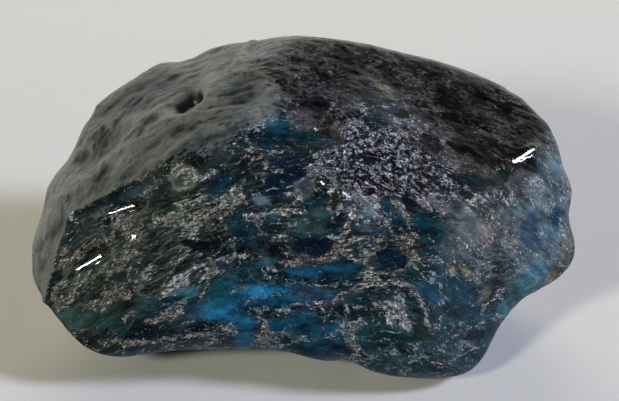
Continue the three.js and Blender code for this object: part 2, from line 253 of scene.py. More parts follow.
def make_camera():
    """Looks straight along -TOWARDS, set sideways so that AIM falls on AIM_PIXEL with no lens shift."""
    middle = np.array([(PHOTO_WIDTH - 1) / 2, (PHOTO_HEIGHT - 1) / 2])
    across, below = (middle - AIM_PIXEL) / PIXELS_PER_MM
    place = AIM + across * RIGHT - below * UP + VIEW_DISTANCE * TOWARDS
    camera = bpy.data.objects.new("camera", bpy.data.cameras.new("camera"))
    camera.location = Vector(place * MM)
    camera.rotation_mode = "QUATERNION"
    camera.rotation_quaternion = Vector(-TOWARDS).to_track_quat("-Z", "Y")
    camera.data.sensor_width = SENSOR_WIDTH
    camera.data.lens = SENSOR_WIDTH * VIEW_DISTANCE * PIXELS_PER_MM / PHOTO_WIDTH
    camera.data.clip_start = CLIP_START
    bpy.context.scene.collection.objects.link(camera)
    bpy.context.scene.camera = camera


def pixels_of(points):
    """Where points, in millimetres, fall in the photograph's frame."""
    local = points - AIM
    scale = PIXELS_PER_MM * VIEW_DISTANCE / (VIEW_DISTANCE - local @ TOWARDS)
    x = AIM_PIXEL[0] + (local @ RIGHT) * scale
    y = AIM_PIXEL[1] - (local @ UP) * scale
    return np.stack([x, y], axis=1)


# ---- Fields over the surface: one value for each point or pixel ----
def smooth(value, low, high):
    """Rises smoothly from 0 at low to 1 at high."""
    t = np.clip((value - low) / (high - low), 0.0, 1.0)
    return t * t * (3 - 2 * t)


OCTAVE_FADE = 0.8  # how fast the noise's finer octaves fade
OCTAVE_RATIO = 2.1  # how much finer each octave is than the last


def lumps(points, size, octaves=2):
    """Fractal noise, about -1 to 1, with lumps the given size apart; points and size in millimetres."""
    places = (points / size).tolist()
    return np.array([noise.fractal(place, OCTAVE_FADE, OCTAVE_RATIO, octaves) for place in places])


def noises(points, size, offsets, octaves=2):
    """Several such noises, each read at its own offset in millimetres, as one vector for each point."""
    return np.stack([lumps(points + offset, size, octaves) for offset in offsets], axis=1)


def ridges(places, octaves=2):
    """Sharp-topped ridges: 1 on their tops, about -0.5 in the hollows."""
    return 1 - 2.6 * np.abs(lumps(places, 1.0, octaves))


def path_distance(places, path):
    """Each place's distance, in pixels, from an open path of pixels."""
    nearest = np.full(len(places), 1e9)
    for a, b in zip(path[:-1], path[1:]):
        a, run = np.array(a, float), np.array(b, float) - np.array(a, float)
        along = np.clip((places - a) @ run / (run @ run), 0.0, 1.0)
        nearest = np.minimum(nearest, np.linalg.norm(places - a - along[:, None] * run, axis=1))
    return nearest


def polygon_depth(places, corners):
    """How many millimetres inside a polygon of pixels each place is, below 0 outside it."""
    inside = np.zeros(len(places), bool)
    x, y = places[:, 0], places[:, 1]
    closed = list(corners) + [corners[0]]
    for (x0, y0), (x1, y1) in zip(closed[:-1], closed[1:]):
        if y0 != y1:
            inside ^= ((y0 > y) != (y1 > y)) & (x < (x1 - x0) * (y - y0) / (y1 - y0) + x0)
    return path_distance(places, closed) * np.where(inside, 1.0, -1.0) / PIXELS_PER_MM


def ellipse_depth(places, x, y, half_length, half_width, tilt):
    """How far inside a tilted ellipse each pixel is: 1 at its middle and 0 on its rim."""
    turn = math.radians(tilt)
    right = (places[:, 0] - x) / PIXELS_PER_MM
    up = (y - places[:, 1]) / PIXELS_PER_MM
    along = (right * math.cos(turn) + up * math.sin(turn)) / half_length
    across = (up * math.cos(turn) - right * math.sin(turn)) / half_width
    return 1.0 - np.hypot(along, across)


# ---- The stone's mesh ----
SUBDIVISIONS = 2
WELD = 1e-7  # metres
stone_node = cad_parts["apatite_stone"]


def fine_stone():
    """A smooth, finer copy of the CAD stone."""
    mesh = stone_node.data.copy()
    stone = bpy.data.objects.new("apatite_surface", mesh)
    bpy.context.scene.collection.objects.link(stone)
    work = bmesh.new()
    work.from_mesh(mesh)
    bmesh.ops.remove_doubles(work, verts=work.verts, dist=WELD)
    work.to_mesh(mesh)
    work.free()
    smoother = stone.modifiers.new("smoother", "SUBSURF")
    smoother.levels = SUBDIVISIONS
    fine = bpy.data.meshes.new_from_object(stone.evaluated_get(bpy.context.evaluated_depsgraph_get()))
    stone.modifiers.clear()
    stone.data = fine
    fine.name = "apatite_surface"
    fine.materials.clear()
    fine.polygons.foreach_set("use_smooth", [True] * len(fine.polygons))
    return stone


def vertex_places(mesh):
    """Millimetres, one row for each vertex."""
    flat = np.empty(len(mesh.vertices) * 3)
    mesh.vertices.foreach_get("co", flat)
    return flat.reshape(-1, 3) / MM


def vertex_normals(mesh):
    flat = np.empty(len(mesh.vertices) * 3)
    mesh.vertex_normals.foreach_get("vector", flat)
    return flat.reshape(-1, 3)


def store(mesh, name, values):
    """Keeps one number, or one vector, for each vertex."""
    kind = "FLOAT" if values.ndim == 1 else "FLOAT_VECTOR"
    layer = mesh.attributes.new(name, kind, "POINT")
    layer.data.foreach_set("value" if values.ndim == 1 else "vector", values.astype(np.float32).ravel())


# ---- Where each vertex is ----
# Where each noise is read, in mm, so that no two are alike
WANDER_AT = (0.0, 50.0)
STRAY_AT = (130.0, 150.0)
JITTER_AT = (190.0, 210.0)
BEND_AT = (300.0, 320.0, 340.0)
SHOULDER_BEND_SHIFT = 60.0

# Bends of the grain, in mm: how far they shift it, and their size
BEND = 1.6, 9.0
SHOULDER_BEND = 0.6, 5.0

# The grain arches over the front, in mm: how far right of AIM the arch has its top, and how flat it is
GRAIN_TOP = 2.0
GRAIN_ARCH = 90.0
# On the shoulder, whose middle lies this far right of and above AIM, it climbs to the right and steepens
# towards the left end
SHOULDER_MIDDLE = (-14.0, 8.0)
SHOULDER_SLOPE = math.radians(40.0)
SHOULDER_ARCH = 38.0

FRONT_FACING = (0.02, 0.25)  # cosines of the angle to the camera where the front ends and is full


def flow_places(points):
    """Millimetre coordinates along, across and into the stone's grain."""
    local = points - AIM
    right, up, out = local @ RIGHT, local @ UP, local @ TOWARDS
    bend = BEND[0] * noises(points, BEND[1], BEND_AT, 1)
    across = up + (right - GRAIN_TOP) ** 2 / GRAIN_ARCH
    return np.stack([right, across, out], axis=1) + bend


def shoulder_places(points):
    """The same for the shoulder's grain."""
    local = points - AIM
    right, up = local @ RIGHT - SHOULDER_MIDDLE[0], local @ UP - SHOULDER_MIDDLE[1]
    out = local @ TOWARDS
    along = right * math.cos(SHOULDER_SLOPE) + up * math.sin(SHOULDER_SLOPE)
    across = up * math.cos(SHOULDER_SLOPE) - right * math.sin(SHOULDER_SLOPE)
    bend = SHOULDER_BEND[0] * noises(points + SHOULDER_BEND_SHIFT, SHOULDER_BEND[1], BEND_AT, 1)
    return np.stack([along, across + along ** 2 / SHOULDER_ARCH, out], axis=1) + bend


class Skin:
    """The stone's vertices in millimetres, their pixels in the photograph, and the noises of ragged rims."""

    def __init__(self, mesh):
        self.points = vertex_places(mesh)
        self.normals = vertex_normals(mesh)
        self.places = pixels_of(self.points)
        self.facing = self.normals @ TOWARDS
        self.front = smooth(self.facing, *FRONT_FACING)
        self.flow = flow_places(self.points)
        self.drift = shoulder_places(self.points)
        self.wander = noises(self.points, 3.0, WANDER_AT)
        self.stray = noises(self.points, 5.0, STRAY_AT, 4)
        self.jitter = noises(self.points, 1.1, JITTER_AT)


# ---- Regions of the front ----
STRAYING = 12.0  # pixels that the regions' rims stray by

# How soft each region's rim is, in mm, and its corners in pixels
REGIONS = {
    "sparkle": (1.2, [
        (311, 168), (313, 150), (322, 136), (335, 116), (350, 112), (366, 122), (392, 117), (420, 122),
        (440, 140), (452, 160), (470, 180), (452, 200), (420, 202), (380, 196), (350, 191), (325, 182),
    ]),
    "dark top": (1.0, [
        (246, 25), (244, 60), (250, 84), (272, 100), (296, 120), (316, 134), (345, 104), (400, 96),
        (430, 135), (455, 180), (490, 177), (515, 163), (532, 148), (556, 140), (560, 60), (400, 20),
    ]),
    # The right end: milky stone, painted paler as a glow of light through the thin stone
    "glowing end": (0.8, [
        (512, 300), (500, 262), (508, 230), (512, 196), (532, 180), (548, 128), (600, 128), (600, 310),
        (540, 320),
    ]),
    "cloud": (0.9, [
        (448, 268), (440, 250), (452, 214), (490, 208), (520, 215), (528, 262), (512, 292), (484, 284),
    ]),
    "foot": (0.9, [(345, 312), (380, 318), (430, 322), (480, 312), (520, 300), (520, 390), (350, 390)]),
    "cold": (2.0, [(185, 262), (300, 240), (420, 262), (520, 250), (530, 400), (180, 400)]),
    "olive": (1.2, [
        (40, 330), (60, 230), (110, 195), (190, 165), (235, 190), (215, 255), (150, 300), (60, 330),
    ]),
}

# The shoulder's rim is crisp at the left end, looser from there on, and soft at its upper right corner.
SHOULDER_CORNERS = [
    (10, 340), (40, 322), (46, 300), (52, 280), (57, 262), (60, 250), (64, 235), (68, 222), (75, 210),
    (90, 202), (110, 193), (130, 182), (160, 170), (190, 158), (215, 145), (235, 131), (256, 122),
    (272, 112), (276, 95), (268, 75), (262, 55), (262, 20), (100, 20), (10, 150),
]
SHOULDER_LOOSE = (115.0, 165.0)  # pixels across where the rim starts to loosen and is loose
SHOULDER_SOFT_ACROSS = (235.0, 262.0)
SHOULDER_SOFT_DOWN = (120.0, 95.0)

# Places too grainy to take a polish: pixel, and radius in pixels
FROSTED_SPOTS = [
    (266, 104, 20), (300, 118, 16), (182, 174, 15), (216, 146, 14), (103, 187, 14), (520, 184, 18),
    (338, 137, 12), (304, 187, 13), (457, 209, 12),
]


def shoulder_share(skin):
    across, down = skin.places[:, 0], skin.places[:, 1]
    looseness = smooth(across, *SHOULDER_LOOSE)
    strayed = skin.places + (1.5 + 11.0 * looseness)[:, None] * skin.stray
    softness = 0.25 + 1.3 * looseness
    softness += 1.2 * smooth(across, *SHOULDER_SOFT_ACROSS) * smooth(down, *SHOULDER_SOFT_DOWN)
    return smooth(polygon_depth(strayed, SHOULDER_CORNERS) / softness, -1.0, 1.0) * skin.front


def frosted_share(skin):
    frosted = np.zeros(len(skin.points))
    for x, y, radius in FROSTED_SPOTS:
        away = np.hypot(skin.places[:, 0] - x, skin.places[:, 1] - y) / radius
        frosted = np.maximum(frosted, 1 - smooth(away + 0.4 * skin.jitter[:, 0], 0.0, 1.2))
    return frosted * skin.front


def region_shares(skin):
    """How far each vertex belongs to each region, 0 to 1."""
    strayed = skin.places + STRAYING * skin.stray
    shares = {"shoulder": shoulder_share(skin), "frosted": frosted_share(skin)}
    for name, (softness, corners) in REGIONS.items():
        shares[name] = smooth(polygon_depth(strayed, corners), -softness, softness) * skin.front
    shares["dark top"] *= 1 - shares["sparkle"]
    shares["olive"] *= 1 - shares["shoulder"]

    # The dark top is plum in patches, and browner to the right
    plum = lumps(skin.points / [1.6, 1.0, 1.0] + 170.0, 3.5)
    shares["plum"] = shares["dark top"] * smooth(plum, -0.1, 0.35)
    shares["umber"] = shares["dark top"] * smooth(skin.places[:, 0], 400.0, 470.0)

    # Satin covers the shoulder, and patches of the hidden sides
    hidden_satin = smooth(lumps(skin.points + 20.0, 16.0), 0.0, 0.3) * (1 - skin.front)
    shares["satin"] = np.maximum(shares["shoulder"], hidden_satin)
    return shares


# ---- Relief, in millimetres ----
# How far each kind rises, and its size along, across and into the grain
RIPPLE = 0.13, [9.0, 2.7, 5.0]
FINE_RIPPLE = 0.07, [3.5, 1.1, 2.0]
POCK = -0.14, [3.4, 1.3, 2.6]
# The same for kinds with one size
GRIT = 0.05, 0.9
WAVE = 0.05, 2.6
FROST = 0.04, 0.6
CRUST = 0.05, 0.9
RIM_RELIEF = 0.35  # share of the satin's relief that is left at the rim, so that the outline stays
GROUND_FADE = (0.05, 1.2)  # heights over which the relief comes in above the resting face

# Crisp ridges (above 0) and hollows (below 0): rise and width in mm, path in pixels
CREASES = [
    (0.28, 0.40, [(61, 199), (91, 177), (108, 162), (122, 149), (141, 142), (158, 132), (170, 122)]),
    (0.16, 0.40, [(191, 117), (204, 113), (233, 108), (252, 109), (263, 100), (268, 86)]),
    (0.24, 0.36, [(126, 123), (141, 114), (159, 107), (172, 104), (183, 99)]),
    (0.30, 0.40, [(195, 113), (201, 102), (213, 94), (226, 86), (234, 77), (243, 70)]),
    (0.28, 0.36, [(228, 71), (238, 61), (246, 50), (253, 43)]),
    (0.20, 0.40, [(98, 108), (117, 94), (134, 84), (146, 76)]),
    (0.16, 0.40, [(205, 92), (222, 78), (236, 72)]),
    (0.14, 0.40, [(150, 128), (171, 116), (190, 117)]),
    (0.14, 0.40, [(90, 150), (104, 137), (112, 122)]),
    (0.24, 0.35, [(47, 300), (54, 270), (62, 243), (69, 222), (76, 210), (92, 200), (112, 191), (134, 179)]),
    (0.24, 0.32, [(63, 197), (71, 214), (69, 230), (60, 250)]),
    (0.14, 0.30, [(48, 212), (44, 238), (47, 260)]),
    (-0.30, 0.60, [(100, 140), (107, 132)]),
    (-0.26, 0.50, [(80, 161), (88, 154)]),
    (-0.24, 0.70, [(132, 107), (148, 103)]),
    (-0.26, 0.50, [(95, 177), (108, 167)]),
    (-0.24, 0.45, [(70, 196), (80, 187)]),
    (-0.22, 0.50, [(146, 122), (156, 117)]),
    (-0.26, 0.60, [(176, 135), (192, 127)]),
    (-0.28, 0.45, [(220, 72), (231, 63)]),
    (-0.24, 0.70, [(234, 96), (246, 89)]),
    (-0.20, 0.50, [(160, 86), (172, 80)]),
    (-0.28, 0.32, [(41, 268), (44, 261)]),
    (-0.24, 0.30, [(38, 250), (42, 244)]),
    (-0.20, 0.40, [(54, 234), (60, 222)]),
    (-0.60, 0.55, [(183, 107), (196, 100)]),
    (-0.35, 0.40, [(193, 103), (200, 98)]),
    # The lip under the sparkling patch, the crack below the lip, and a nick in the patch's upper edge
    (0.16, 0.40, [(316, 178), (325, 187), (340, 193), (361, 202)]),
    (-0.14, 0.45, [(309, 184), (320, 195), (336, 202), (357, 210)]),
    (-0.20, 0.35, [(318, 129), (328, 133), (341, 141)]),
]

# Small polished places that mirror a light: its place in LIGHTS, an ellipse as in WINDOWS, and how round the
# place is across its length, as a radius in mm
FACETS = [
    (0, 523, 155, 1.40, 0.60, 31, 1.6), (0, 346, 195, 0.9, 0.50, -33, 1.2),
    (0, 322, 184, 0.7, 0.45, -50, 1.0), (1, 88, 262, 2.0, 0.65, 29, 1.5),
    (1, 133, 237, 0.5, 0.50, 10, 2.0), (1, 121, 209, 1.9, 0.55, 17, 0.8),
]


def satin_relief(drift, points):
    """The satin's ripples, fine ripples, grit and pocks."""
    ripple = RIPPLE[0] * ridges(drift / RIPPLE[1], 1)
    fine_ripple = FINE_RIPPLE[0] * ridges(drift / FINE_RIPPLE[1] + 30.0, 2)
    fine_ripple += GRIT[0] * lumps(points + 230.0, GRIT[1], 3)
    pocks = POCK[0] * smooth(lumps(drift / POCK[1] + 60.0, 1.0, 1), 0.2, 0.55)
    return ripple + fine_ripple + pocks


def crease_relief(skin):
    rise = np.zeros(len(skin.points))
    for height, width, path in CREASES:
        away = path_distance(skin.places, path) / (width * PIXELS_PER_MM)
        rise += height * np.exp(-away * away) * skin.front
    return rise


def carve(skin, shares):
    """Each vertex's place with the relief, and the height that the satin's colour follows: a painted sheen
    where it is high, painted shade where it is low.
    """
    satin = shares["satin"]
    rippled = satin_relief(skin.drift, skin.points)
    creased = crease_relief(skin)
    rim = RIM_RELIEF + (1 - RIM_RELIEF) * smooth(skin.facing, 0.05, 0.45)
    rise = satin * rippled * rim + creased
    frost = shares["frosted"] * FROST[0] * lumps(skin.points, FROST[1], 3)
    rise += (1 - satin) * WAVE[0] * lumps(skin.points, WAVE[1]) + frost
    crusty = 1.2 * shares["dark top"] + 1.4 * shares["sparkle"]
    rise += crusty * CRUST[0] * lumps(skin.flow * [0.6, 1.2, 1.0], CRUST[1], 3)
    rise *= smooth(skin.points[:, 2], *GROUND_FADE)
    # Painted light: the satin is made paler towards the shoulder's lower part, pixel rows 150 to 230
    low_painted_light = 0.09 * smooth(skin.places[:, 1], 150.0, 230.0)
    return skin.points + skin.normals * rise[:, None], satin * (rippled + creased + low_painted_light)


def polish_facets(skin, moved):
    """Turns the small facets, in place, to mirror a light; gives how polished each vertex is."""
    polished = np.zeros(len(moved))
    for index, x, y, half_length, half_width, tilt, radius in FACETS:
        depth = ellipse_depth(skin.places, x, y, half_length, half_width, tilt)
        flat = smooth(depth, -0.55, 0.15) * skin.front
        polished = np.maximum(polished, flat)
        middle = moved[np.argmax(depth * skin.front)]
        to_light = Vector(LIGHTS[index][1]).normalized() * (LIGHT_DISTANCE / MM) - Vector(middle)
        to_camera = Vector(AIM + VIEW_DISTANCE * TOWARDS - middle)
        halfway = np.array((to_light.normalized() + to_camera.normalized()).normalized())
        turn = math.radians(tilt)
        sideways = np.cross(halfway, math.cos(turn) * RIGHT + math.sin(turn) * UP)
        away = moved - middle
        height = away @ halfway + (away @ sideways) ** 2 / (2 * radius)
        moved -= (height * flat)[:, None] * halfway
    return polished


# ---- Colours, and how thickly the grains lie ----
NO_VEIN = -3.0  # as far outside every vein as the material needs to know
USUAL_THICKNESS = 0.43
COLD_THINNING = 0.06
PATCH_THICKENING = 0.25
SHOULDER_THINNING = 0.9
USUAL_FIBRES = 0.3
PORE_STRETCH = [0.35, 1.0, 0.6]  # makes the satin's pores longer along its grain

# What each region changes, in this order: the clear stone's colour and how far it takes over, the same for
# the grains' colour, and the same for how thickly the grains lie
REGION_LOOKS = [
    ("olive", (BOTTLE, 0.8), (OLIVE, 0.7), None),
    ("dark top", (OLIVE_GREY, 1.0), (DULL_GREY, 1.0), (0.80, 1.0)),
    ("plum", (PLUM_GREY, 1.0), None, None),
    ("umber", (UMBER, 0.8), None, None),
    ("sparkle", (SOOT, 0.95), (SPARKLING, 1.0), (1.00, 1.0)),
    # The right end's milky blue is painted paler as a glow of light through it
    ("glowing end", (MILKY_GLOW_BLUE, 0.8), (MILKY_GREY, 0.7), (0.66, 0.7)),
    ("cloud", (CLOUD_BLUE, 0.8), (CLOUD_GREY, 0.8), (0.46, 0.8)),
    ("foot", (FOOT_TEAL, 0.7), None, None),
    ("cold", (DEEP_TEAL, 0.7), (COLD_SILVER, 0.7), None),
]


def tint(target, color, amount):
    """Draws an array of colours, in place, towards one colour."""
    target += (np.array(color) - target) * np.clip(amount, 0, 1)[:, None]


class Look:
    """The clear stone's colour, the grains' colour and how thickly the grains lie, for each vertex."""

    def __init__(self, count):
        self.body = np.tile(np.array(BLACK_TEAL), (count, 1))
        self.grains = np.tile(np.array(SILVER), (count, 1))
        self.thickness = np.full(count, USUAL_THICKNESS)

    def thicken(self, goal, amount, share=1.0):
        self.thickness += (goal - self.thickness) * amount * share


def window_thickness(color):
    """The milkier a window, the more grains show in it."""
    return min(0.04 + 8.0 * color[0], 0.6)


def lay_regions(look, skin, shares):
    """The stone's usual mottling, and the regions over it."""
    hue = lumps(skin.points + 70.0, 6.0)
    tint(look.body, DEEP_TEAL, smooth(hue, 0.1, 0.5))
    tint(look.body, BOTTLE, smooth(-hue, 0.1, 0.5))
    tint(look.grains, BEIGE, smooth(lumps(skin.points + 90.0, 5.0), 0.0, 0.5) * 0.8)
    tint(look.grains, LILAC, smooth(lumps(skin.points + 110.0, 5.0), 0.1, 0.5) * 0.7)
    for name, body, grains, thickness in REGION_LOOKS:
        share = shares[name]
        tint(look.body, body[0], share * body[1])
        if grains:
            tint(look.grains, grains[0], share * grains[1])
        if thickness:
            look.thicken(thickness[0], share, thickness[1])
    look.thickness -= COLD_THINNING * shares["cold"]


def lay_patches(look, skin, shares, ragged):
    for color, *ellipse in PATCHES:
        amount = smooth(ellipse_depth(ragged, *ellipse), -0.4, 0.5) * skin.front
        tint(look.grains, color, amount)
        look.thickness += PATCH_THICKENING * amount * (1 - shares["sparkle"])


def lay_windows(look, skin, ragged):
    for color, *ellipse in WINDOWS:
        depth = ellipse_depth(ragged, *ellipse)
        tint(look.body, color, smooth(depth, -0.7, 0.3) * skin.front)
        clear = smooth(depth, -0.2, 0.2) * skin.front
        if color[0] > MILKY:
            tint(look.grains, np.minimum(np.array(color) * 3.2, 0.6), clear * 0.8)
        look.thicken(window_thickness(color), clear)


def lay_veins(look, skin):
    """Gives how far inside a vein each vertex is: 1 in its middle, 0 on its rim and less outside."""
    jagged = skin.places + 1.5 * skin.wander + 2.5 * skin.jitter
    seam = np.full(len(skin.points), NO_VEIN)
    for color, half_width, path in VEINS:
        inside = 1 - path_distance(jagged, path) / (half_width * PIXELS_PER_MM)
        seam = np.maximum(seam, np.where(skin.front > 0.0, inside, NO_VEIN))
        tint(look.grains, color, smooth(inside, -1.0, 0.0) * skin.front * 0.9)
        tint(look.body, np.array(color) * 0.05, smooth(inside, -0.6, 0.6) * skin.front * 0.7)
    return seam


def lay_hidden_windows(look, skin):
    """Windows on the hidden sides, where spindles of clear stone come out."""
    draw = np.random.default_rng(HIDDEN_SEED)
    hidden = np.flatnonzero(skin.facing < HIDDEN_FACING)
    ragged = skin.points + 0.5 * np.column_stack([skin.wander, skin.stray[:, 0]])
    behind = 1 - skin.front
    for _ in range(HIDDEN_WINDOWS):
        middle = skin.points[draw.choice(hidden)]
        axis = draw.normal(size=3)
        axis /= np.linalg.norm(axis)
        half_length, half_width = draw.uniform(*HIDDEN_LENGTHS), draw.uniform(*HIDDEN_WIDTHS)
        color = HIDDEN_COLORS[draw.integers(len(HIDDEN_COLORS))]
        away = ragged - middle
        along = away @ axis
        across = np.linalg.norm(away - along[:, None] * axis, axis=1)
        depth = 1 - np.hypot(along / half_length, across / half_width)
        tint(look.body, color, smooth(depth, -1.0, 0.35) * behind)
        look.thicken(HIDDEN_THICKNESS, smooth(depth, -0.3, 0.3), behind)


def dress(stone):
    """Carves the fine relief and stores the fields that the material reads."""
    mesh = stone.data
    skin = Skin(mesh)
    shares = region_shares(skin)
    moved, sheen_and_shade = carve(skin, shares)
    polished = polish_facets(skin, moved)
    moved[:, 2] = np.maximum(moved[:, 2], 0.0)
    mesh.vertices.foreach_set("co", (moved * MM).ravel())
    mesh.update()

    look = Look(len(skin.points))
    ragged = skin.places + 3.0 * skin.wander + 3.0 * skin.jitter
    lay_regions(look, skin, shares)
    lay_patches(look, skin, shares, ragged)
    lay_windows(look, skin, ragged)
    seam = lay_veins(look, skin)
    look.thickness *= 1 - SHOULDER_THINNING * smooth(shares["shoulder"], 0.02, 0.4)
    lay_hidden_windows(look, skin)

    fibrous = np.maximum(USUAL_FIBRES, np.maximum(shares["olive"], shares["cloud"]))
    fibrous *= smooth(look.thickness, 0.10, 0.35)
    fibrous *= 1 - np.maximum(shares["dark top"], shares["sparkle"])
    fields = {
        "sheen_and_shade": sheen_and_shade, "body": look.body, "grains": look.grains, "thickness": look.thickness,
        "satin": shares["satin"], "flow": skin.flow, "drift": skin.drift * PORE_STRETCH,
        "dark": shares["dark top"], "frosted": shares["frosted"], "polished": polished,
        "sparkle": shares["sparkle"], "seam": seam, "fibrous": fibrous,
    }
    for name, values in fields.items():
        store(mesh, name, values)


# ---- Materials; sizes of marks in millimetres ----
CELL_SIZE = 2.6  # cells of clear stone between the veins
CELL_BEND = 1.6  # how far the cells are bent
BEND_SIZE = 1.4
WIDTH_SIZE = 2.6  # stretches of wide and narrow veins
PATCHY_SIZE = 0.9  # gaps in those veins
GAP_SIZE = 0.7  # gaps in the placed veins
THREAD_SIZE = 1.3
FRAY_SIZE = 0.8  # frayed edges of the placed veins
SATIN_FRAY_SIZE = 1.5  # the same for the satin
SPECK_SIZE = 0.30
CURL_SIZE = 0.62
FINE_CURL_SIZE = 0.36
SCALE_SIZE = 0.48
CLUSTER_SIZE = 0.9
DOT_SIZE = 0.26
GLITTER_SIZE = 0.25
DEPTH_SIZE = 1.6
STREAK_SIZE = 0.8
FIBRE_SIZE = 0.30
FIBRE_PATCH_SIZE = 1.5
BLOTCH_SIZE = 1.3
LINE_SIZE = 0.55
ROCK_SIZE = 0.36
SATIN_GRIT_SIZE = 0.6
PORE_SIZE = 0.5

CLEAR_ROUGHNESS = 0.12
GRAIN_ROUGHNESS = 0.38
SATIN_ROUGHNESS = 0.30
FACET_ROUGHNESS = 0.06
BUMP_STRENGTH = 0.35
BUMP_HEIGHT = 0.00008  # metres
APATITE_IOR = 1.63
APATITE_SHINE = 0.4


class Nodes:
    """Short ways to add shader nodes; a value is a number or another node's output."""

    def __init__(self, tree):
        self.tree = tree

    def add(self, kind, output=0, settings=None, **inputs):
        node = self.tree.nodes.new(kind)
        for name, value in (settings or {}).items():
            setattr(node, name, value)
        for name, value in inputs.items():
            key = int(name[1:]) if name[0] == "_" else name.replace("_", " ")
            self.join(node.inputs[key], value)
        return node.outputs[output]

    def join(self, socket, value):
        if isinstance(value, bpy.types.NodeSocket):
            self.tree.links.new(value, socket)
        elif isinstance(value, tuple) and socket.type == "RGBA":
            socket.default_value = (*value, 1.0)
        else:
            socket.default_value = value

    def field(self, name, output="Fac"):
        return self.add("ShaderNodeAttribute", output, {"attribute_name": name})

    def math(self, operation, a, b=0.0, clamp=False):
        return self.add("ShaderNodeMath", 0, {"operation": operation, "use_clamp": clamp}, _0=a, _1=b)

    def plus(self, a, b):
        return self.math("ADD", a, b)

    def minus(self, a, b):
        return self.math("SUBTRACT", a, b)

    def times(self, a, b):
        return self.math("MULTIPLY", a, b)

    def most(self, *values):
        highest = values[0]
        for value in values[1:]:
            highest = self.math("MAXIMUM", highest, value)
        return highest

    def vector(self, operation, a, b, output=0):
        return self.add("ShaderNodeVectorMath", output, {"operation": operation}, _0=a, _1=b)

    def scaled(self, vector, x, y, z):
        return self.vector("MULTIPLY", vector, (x, y, z))

    def noise(self, vector, size, detail=2.0, roughness=0.5, distortion=0.0):
        return self.add("ShaderNodeTexNoise", "Fac", None, Vector=vector, Scale=1.0 / size, Detail=detail,
                        Roughness=roughness, Distortion=distortion)

    def step(self, value, low, high, to_low=0.0, to_high=1.0):
        return self.add("ShaderNodeMapRange", 0, {"interpolation_type": "SMOOTHSTEP"}, _0=value, _1=low,
                        _2=high, _3=to_low, _4=to_high)

    def line(self, value, half_width, on, off):
        """Lines where a noise passes its middle value."""
        return self.step(self.math("ABSOLUTE", self.minus(value, 0.5)), 0.0, half_width, on, off)

    def blend(self, amount, a, b):
        return self.add("ShaderNodeMix", 0, {"data_type": "FLOAT"}, _0=amount, _2=a, _3=b)

    def mix(self, amount, a, b, blend="MIX"):
        node = self.tree.nodes.new("ShaderNodeMix")
        node.data_type = "RGBA"
        node.blend_type = blend
        for key, value in ((0, amount), (6, a), (7, b)):
            self.join(node.inputs[key], value)
        return node.outputs[2]


def new_material(name, kind=Nodes):
    """A material, its nodes and its shader."""
    material = bpy.data.materials.new(name)
    material.use_nodes = True
    return material, kind(material.node_tree), material.node_tree.nodes["Principled BSDF"]


